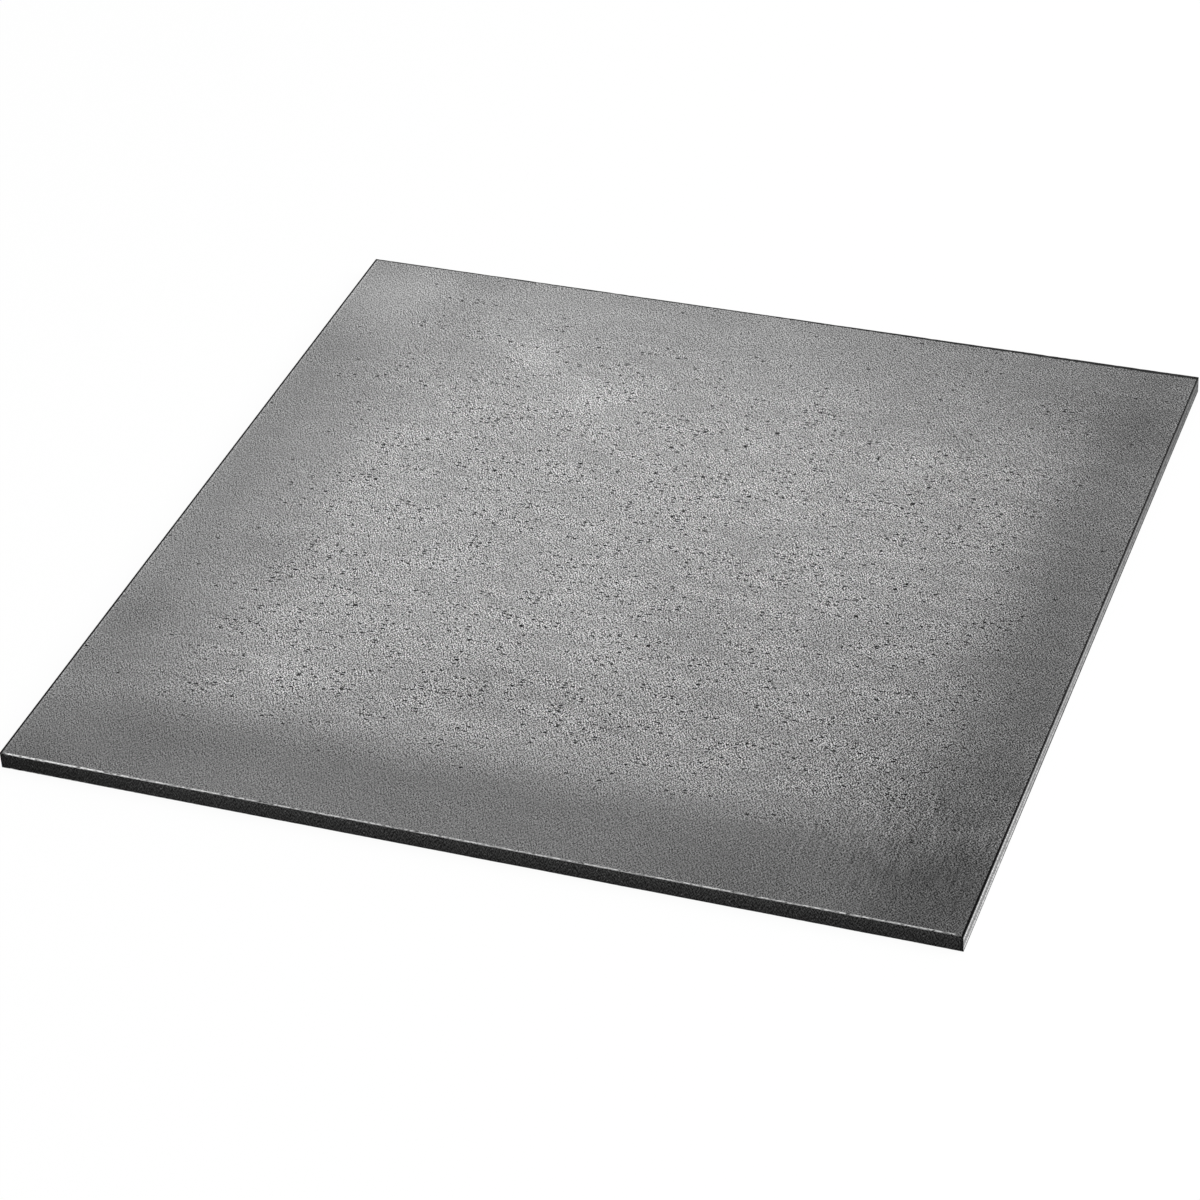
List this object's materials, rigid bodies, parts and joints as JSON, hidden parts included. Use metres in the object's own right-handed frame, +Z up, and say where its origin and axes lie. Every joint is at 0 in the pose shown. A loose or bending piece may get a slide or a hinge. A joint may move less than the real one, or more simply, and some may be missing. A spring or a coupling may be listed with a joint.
{
  "type": "steel plate",
  "caption": "Square blank of hot-rolled steel plate with dull mill scale, round rolled edges front and back and cut edges left and right, lying flat.",
  "frame": {"origin": "middle of the bottom face", "axes": "+Z up through the thickness, out of the top face; +X along the rolling direction, out of the right cut edge; +Y out of the back mill edge"},
  "size_m": [0.3, 0.3, 0.006],
  "materials": {
    "plate": "satin"
  },
  "bodies": {
    "root": {"plate": "plate"}
  },
  "joints": []
}
